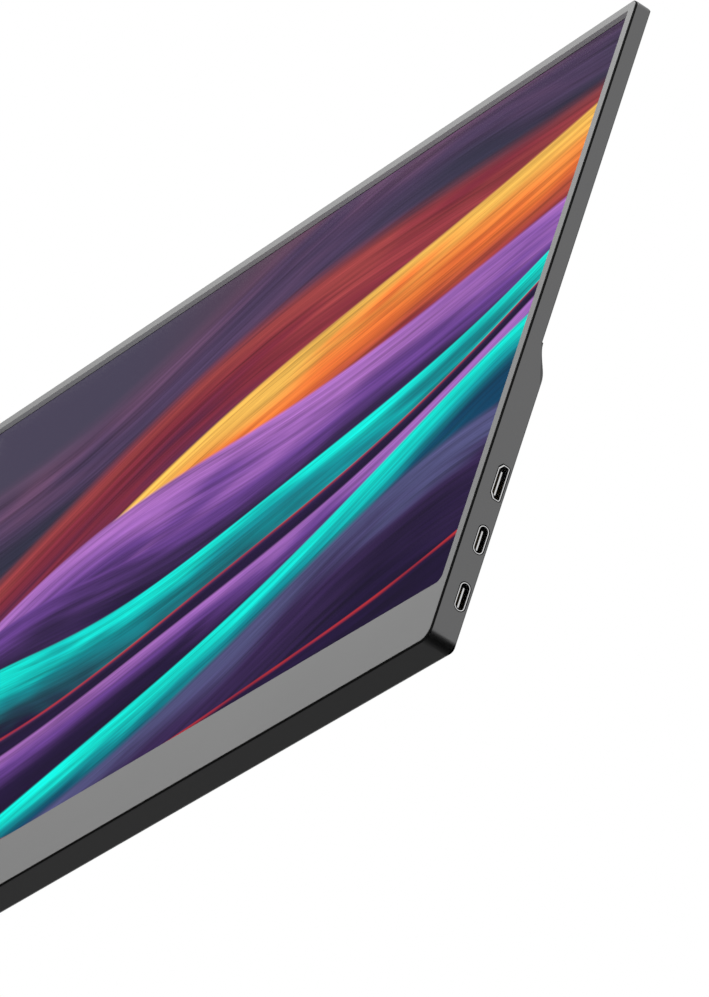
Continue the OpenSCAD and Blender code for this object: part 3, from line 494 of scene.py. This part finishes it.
def frame_ring(bm, outer, inner, depth, thickness):
    """A closed flat ring between two outlines, from a depth backwards by its thickness."""
    edges = set()
    for w, z0, z1, low, high in (outer, inner):
        corners = outline(bm, w, z0, z1, depth, low, high)
        faces = {f for v in corners for f in v.link_faces}
        loop = {e for f in faces for e in f.edges}
        bmesh.ops.delete(bm, geom=list(faces), context="FACES_ONLY")
        edges |= loop
    filled = bmesh.ops.triangle_fill(bm, edges=list(edges), use_beauty=True, normal=(0, -1, 0))
    faces = [g for g in filled["geom"] if isinstance(g, bmesh.types.BMFace)]
    grown = bmesh.ops.extrude_face_region(bm, geom=faces, use_keep_orig=True)
    back = [g for g in grown["geom"] if isinstance(g, bmesh.types.BMVert)]
    bmesh.ops.translate(bm, verts=back, vec=(0, thickness * MM, 0))


def make_bezel():
    """The front bezel: a thin outer lip with a soft edge and the frame behind it."""
    bm = bmesh.new()
    view = (BODY_W - 2 * SIDE_BORDER, CHIN_H, BODY_H - TOP_BORDER, VIEW_R, 0)
    for inset, front, back in ((LIP_IN, 0, LIP_T), (BEZEL_IN, LIP_T, BEZEL_BACK)):
        outer = (BODY_W - 2 * inset, inset, BODY_H - inset, CORNER_R - inset, TOP_CORNER_R - inset)
        frame_ring(bm, outer, view, front, back - front)
    bmesh.ops.recalc_face_normals(bm, faces=bm.faces)
    front = [e for e in sharp_edges(bm) if all(abs(v.co.y - FRONT * MM) < 1e-7 for v in e.verts)]
    round_edges(bm, front, LIP_ROUND, 3)
    make_piece(bm, "bezel", "monitor", "bezel_metal", ["front_bezel"])


def at_outside(place):
    """Whether a place lies on the housing's outer side, seen from the front."""
    x, z = abs(place.x) / MM, place.z / MM
    across, up = SIDE_X - x, min(z, BODY_H - z)
    corner = CORNER_R if z < BODY_H / 2 else TOP_CORNER_R
    if across < corner and up < corner:
        return abs(math.hypot(corner - across, corner - up) - corner) < 0.05
    return min(across, up) < 0.05


def make_tray():
    """The metal tray, with a softened rim along the black seam."""
    bm = merged_copy("rear_housing")
    seam = (FRONT + SEAM_BACK) * MM
    rim = [e for e in sharp_edges(bm) if all(abs(v.co.y - seam) < 2e-5 for v in e.verts)
           and any(at_outside(v.co) for v in e.verts)]
    round_edges(bm, rim, RIM_ROUND, 2)
    make_piece(bm, "tray", "monitor", "housing_metal", ["rear_housing"], smooth_angle=28)


def side_block(bm, x0, x1, depth, z, thick, tall):
    """A block along x, centred on a depth and a height, in millimetres; returns its vertices."""
    centre = to_front((x0 + x1) / 2, depth, z)
    size = Matrix.Diagonal(((x1 - x0) * MM, thick * MM, tall * MM, 1))
    return bmesh.ops.create_cube(bm, size=1, matrix=Matrix.Translation(centre) @ size)["verts"]


def outer_edges(bm, x):
    """The sharp edges that lie at or beyond x, in millimetres."""
    return [e for e in sharp_edges(bm) if all(v.co.x > (x - 0.01) * MM for v in e.verts)]


def make_socket(name, z, tongue_tall, pins, pitch):
    """One socket: a thin rolled shell, a tongue with a bright tip, and its gold contacts."""
    tip_x = SIDE_X - TONGUE_BACK
    bm = merged_copy(name + "_shell")
    round_edges(bm, outer_edges(bm, SIDE_X), SHELL_ROUND, 3)
    make_piece(bm, name + "_rolled", "monitor", "socket_steel", [name + "_shell"])
    bm = merged_copy(name + "_tongue")
    round_edges(bm, outer_edges(bm, tip_x), TONGUE_ROUND)
    make_piece(bm, name + "_blade", "monitor", "tongue_plastic", [name + "_tongue"])
    bm = bmesh.new()
    side_block(bm, tip_x - 0.5, tip_x + 0.06, SOCKET_D, z, 0.5, tongue_tall - 0.3)
    round_edges(bm, sharp_edges(bm), TIP_ROUND)
    make_piece(bm, name + "_tip", "monitor", "socket_steel")
    make_contacts(name, z, tip_x, pins, pitch)


def make_contacts(name, z, tip_x, pins, pitch):
    """Two rows of gold contacts, one on each face of a socket's tongue."""
    long_from, long_to, thick, share = 4.2, 0.55, 0.06, 0.55
    bm = bmesh.new()
    for row in (-1, 1):
        for pin in range(pins):
            side_block(bm, tip_x - long_from, tip_x - long_to, SOCKET_D + row * TONGUE_T / 2,
                       z + (pin - (pins - 1) / 2) * pitch, thick, pitch * share)
    make_piece(bm, name + "_contacts", "monitor", "socket_steel", finish_name="contact_gold")


def lathe(bm, profile, centre, toward, steps=48, closed=False):
    """Spins a profile of (along, radius) points in millimetres about a line."""
    start = Vector(centre)
    axis = Vector(toward).normalized()
    side = axis.orthogonal().normalized()
    verts = [bm.verts.new(start + axis * a * MM + side * r * MM) for a, r in profile]
    pairs = list(zip(verts, verts[1:])) + ([(verts[-1], verts[0])] if closed else [])
    edges = [bm.edges.new(pair) for pair in pairs]
    bmesh.ops.spin(bm, geom=verts + edges, cent=start, axis=axis, angle=2 * math.pi, steps=steps,
                   use_merge=True)
    bmesh.ops.remove_doubles(bm, verts=bm.verts, dist=1e-7)
    bmesh.ops.recalc_face_normals(bm, faces=bm.faces)


def arc(along, radius, size, start, end, steps=4):
    """Points of a round corner in a lathe profile, by its centre, size and angles in degrees."""
    turns = [math.radians(start + (end - start) * step / steps) for step in range(steps + 1)]
    return [(along + size * math.sin(t), radius + size * math.cos(t)) for t in turns]


def reach_inside(node):
    """How far a left-side node reaches in from the side face, in millimetres."""
    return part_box(node)[1][0] / MM + SIDE_X


def make_power_button():
    """A turned button with a rounded rim, a shallow dish and a flange inside the wall."""
    out, r, deep = BUTTON_OUT, BUTTON_R, reach_inside("power_button")
    chamfer, rim = 0.1, 0.2
    flange_back, flange_front, flange_r = -1.65, -1.05, r + 0.35
    profile = [(-deep, 0), (-deep, r - chamfer), (chamfer - deep, r), (flange_back, r),
               (flange_back, flange_r), (flange_front, flange_r), (flange_front, r)]
    profile += arc(out - rim, r - rim, rim, 0, 90)
    profile += [(out, r - 0.35), (out - 0.05, r - 0.5), (out - 0.07, 0)]
    bm = bmesh.new()
    lathe(bm, profile, to_front(-SIDE_X, BUTTON_D, BUTTON_Z), (-1, 0, 0))
    make_piece(bm, "turned_button", "power_key", "button_metal", ["power_button"])


def make_jack_ring():
    """A polished ring with a rolled lip round the headphone jack."""
    wall, out, inner, outer = 0.9, 0.1, 1.8, 2.42
    half = (outer - inner) / 2
    profile = [(-wall, inner), (out - half, inner)] + arc(out - half, inner + half, half, 180, 0, 8)
    profile += [(-wall, outer)]
    bm = bmesh.new()
    lathe(bm, profile, to_front(-SIDE_X, JACK_D, JACK_Z), (-1, 0, 0), 64, closed=True)
    make_piece(bm, "rolled_jack_ring", "monitor", "socket_steel", ["jack_ring"])


def make_jack_leaf():
    """The gold contact leaf that arches up from the bottom of the jack's bore."""
    start, end, low, wide, thick, arch = 1.6, 5.2, 1.72, 0.9, 0.16, 0.55
    bm = bmesh.new()
    side_block(bm, start - SIDE_X, end - SIDE_X, JACK_D, JACK_Z - low, wide, thick)
    long_edges = [e for e in bm.edges if abs(e.verts[0].co.x - e.verts[1].co.x) > MM]
    bmesh.ops.subdivide_edges(bm, edges=long_edges, cuts=8)
    for vert in bm.verts:
        turn = (vert.co.x / MM + SIDE_X - start) / (end - start)
        vert.co.z += arch * MM * math.sin(math.pi * turn)
    make_piece(bm, "jack_leaf", "monitor", "socket_steel", finish_name="contact_gold")


def make_jog():
    """The jog lever with soft edges and three grip ridges on its tip."""
    edge, ridge_edge, pitch, out, deep, wide, tall = 0.12, 0.1, 1.05, 0.27, 0.3, 1.4, 0.42
    bm = merged_copy("jog_lever")
    round_edges(bm, sharp_edges(bm), edge)
    for step in (-1, 0, 1):
        ridge = side_block(bm, -SIDE_X - out, -SIDE_X + deep, JOG_D, JOG_Z + step * pitch, wide, tall)
        round_edges(bm, {e for v in ridge for e in v.link_edges}, ridge_edge)
    make_piece(bm, "jog_grip", "jog_stick", "jog_plastic", ["jog_lever"])


def make_light_lens():
    """The status light's lens, with a low dome at its outer end."""
    deep, r, rim, shoulder = reach_inside("status_light"), 0.5, 0.12, -0.42
    profile = [(-deep, 0), (-deep, r), (shoulder, r)]
    profile += arc(shoulder, r - rim, rim, 0, 60, 3) + [(-0.31, 0.2), (-0.3, 0)]
    bm = bmesh.new()
    lathe(bm, profile, to_front(-SIDE_X, LIGHT_D, LIGHT_Z), (-1, 0, 0), 24)
    make_piece(bm, "light_lens", "monitor", "light_pipe", ["status_light"])


def make_inserts():
    """Two brass inserts with a thread inside, a countersunk mouth and three outer grooves."""
    low, high = (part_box("mount_inserts")[row][1] / MM - FRONT for row in (0, 1))
    long = high - low
    bore, crest, outer, turns, chamfer = 1.9, 1.65, 2.9, 5, 0.15
    pitch = (long - 0.5) / turns
    profile = [(0, outer - chamfer), (0, bore)]
    for turn in range(turns):
        profile += [((turn + 0.5) * pitch, crest), ((turn + 1.0) * pitch, bore)]
    profile += [(long, bore + 0.25), (long, outer - chamfer), (long - chamfer, outer)]
    for groove in range(3):
        at = long * (0.72 - 0.2 * groove)
        profile += [(at, outer), (at - 0.12, outer - 0.14), (at - 0.24, outer)]
    profile += [(chamfer, outer)]
    bm = bmesh.new()
    for side in (-1, 1):
        middle = to_front(side * MOUNT_HALF, low, MOUNT_Z)
        lathe(bm, profile, middle, (0, 1, 0), 40, closed=True)
    make_piece(bm, "threaded_inserts", "monitor", "brass_insert", ["mount_inserts"])


# Studio floor in metres: its reach, its drop below the part, and rays too short to see it
FLOOR_R, FLOOR_DROP, CLOSE_RAYS = 40.0, 0.0002, (0.03, 0.15)
FLOOR_TONE, FLOOR_GLOW = 0.5, 0.61


def make_floor():
    """A wide pale floor just under the monitor."""
    bm = bmesh.new()
    bmesh.ops.create_circle(bm, cap_ends=True, segments=64, radius=FLOOR_R)
    mesh = bpy.data.meshes.new("floor")
    bm.to_mesh(mesh)
    bm.free()
    floor = bpy.data.objects.new("floor", mesh)
    floor.location = (0, 0, -FLOOR_DROP)
    bpy.context.scene.collection.objects.link(floor)
    mesh.materials.append(floor_finish())


def floor_finish():
    """Pale matt floor. Seen from below, and by rays that start close over it, it is clear."""
    material = bpy.data.materials.new("studio_floor")
    material.use_nodes = True
    tree = material.node_tree
    tree.nodes.clear()
    path = put(tree, "LightPath").outputs
    above = calc(tree, "SUBTRACT", 1.0, put(tree, "NewGeometry").outputs["Backfacing"])
    far = rise(tree, path["Ray Length"], *CLOSE_RAYS)
    gloss = calc(tree, "MAXIMUM", path["Is Glossy Ray"], path["Is Transmission Ray"])
    mirror = calc(tree, "MULTIPLY", gloss, far)
    seen = calc(tree, "MULTIPLY", calc(tree, "MAXIMUM", path["Is Camera Ray"], mirror), above)
    clear = put(tree, "BsdfTransparent")
    matt = put(tree, "BsdfDiffuse", {"Color": grey(FLOOR_TONE)})
    pale = put(tree, "Emission", {"Color": grey(1.0), "Strength": FLOOR_GLOW})
    both = put(tree, "AddShader", {0: matt.outputs[0], 1: pale.outputs[0]})
    mix = put(tree, "MixShader", {0: seen, 1: clear.outputs[0], 2: both.outputs[0]})
    out = put(tree, "OutputMaterial")
    tree.links.new(mix.outputs[0], out.inputs["Surface"])
    return material


# World: the dark card above the screen, the ground that gloss sees, and the fill on matt surfaces
CARD_TOWARD = (-0.773, -0.343, 0.533)
CARD_SPREAD = (math.cos(math.radians(50)), math.cos(math.radians(22)))
CARD_LEVEL, HORIZON = 0.06, (-0.12, 0.0)
GROUND_TURN, GROUND_RIGHT, GROUND_LEFT = (-0.4, 1.0), 0.02, 0.19
FILL_ABOVE, FILL_BELOW = 0.2, 0.95


def make_world():
    """White to the camera. Gloss sees white above with a dark card, and dim ground below."""
    world = bpy.data.worlds.new("studio")
    bpy.context.scene.world = world
    world.use_nodes = True
    world.cycles.sampling_method = "NONE"
    tree = world.node_tree
    tree.nodes.clear()
    toward = put(tree, "TexCoord").outputs["Generated"]
    parts = put(tree, "SeparateXYZ", {0: toward}).outputs
    upper = rise(tree, parts[2], *HORIZON)
    ground = blend(tree, rise(tree, calc(tree, "MULTIPLY", parts[0], -1.0), *GROUND_TURN),
                   grey(GROUND_RIGHT), grey(GROUND_LEFT))
    card = put(tree, "VectorMath", {0: toward, 1: CARD_TOWARD}, operation="DOT_PRODUCT")
    covered = rise(tree, card.outputs["Value"], *CARD_SPREAD)
    open_sky = blend(tree, covered, grey(1.0), grey(CARD_LEVEL))
    gloss = blend(tree, upper, ground, open_sky)
    matt = blend(tree, upper, grey(FILL_BELOW), grey(FILL_ABOVE))
    path = put(tree, "LightPath").outputs
    mirror = calc(tree, "MAXIMUM", path["Is Glossy Ray"], path["Is Transmission Ray"])
    shown = blend(tree, mirror, matt, gloss)
    colour = blend(tree, path["Is Camera Ray"], shown, grey(1.0))
    back = put(tree, "Background", {"Color": colour, "Strength": 1.0})
    out = put(tree, "OutputWorld")
    tree.links.new(back.outputs[0], out.inputs["Surface"])


# The lamp, in metres and watts
LAMP_PLACE, LAMP_AIM, LAMP_SIZE, LAMP_POWER = (0.05, -0.3, 0.65), (0.03, 0, 0.18), 0.25, 4.2


def make_lamp():
    """One square soft lamp high in front of the screen."""
    data = bpy.data.lights.new("high_lamp", "AREA")
    data.shape = "SQUARE"
    data.size = LAMP_SIZE
    data.energy = LAMP_POWER
    lamp = bpy.data.objects.new("high_lamp", data)
    lamp.location = LAMP_PLACE
    lamp.rotation_mode = "QUATERNION"
    lamp.rotation_quaternion = (Vector(LAMP_AIM) - Vector(LAMP_PLACE)).to_track_quat("-Z", "Y")
    lamp.visible_camera = False
    bpy.context.scene.collection.objects.link(lamp)


# Camera: place, axes and lens, worked out from the edges of the monitor in the photograph
CAMERA_PLACE = (1.808383, -0.761826, -1.099329)
CAMERA_RIGHT = (0.540541, 0.796343, 0.271391)
CAMERA_UP = (0.330994, -0.497859, 0.801611)
CAMERA_BACK = (0.773471, -0.343475, -0.532698)
CAMERA_LENS = 291.18


def make_camera():
    """The camera at the photograph's place."""
    data = bpy.data.cameras.new("camera")
    data.sensor_width = 36.0
    data.lens = CAMERA_LENS
    data.clip_start, data.clip_end = 0.01, 200.0
    camera = bpy.data.objects.new("camera", data)
    turn = Matrix((CAMERA_RIGHT, CAMERA_UP, CAMERA_BACK)).transposed()
    camera.matrix_world = Matrix.Translation(CAMERA_PLACE) @ turn.to_4x4()
    bpy.context.scene.collection.objects.link(camera)
    bpy.context.scene.camera = camera


make_camera()
dress_nodes()
make_bezel()
make_tray()
for socket in SOCKETS:
    make_socket(*socket)
make_power_button()
make_jack_ring()
make_jack_leaf()
make_jog()
make_light_lens()
make_inserts()
make_floor()
make_world()
make_lamp()
bpy.context.scene.view_settings.view_transform = "Standard"
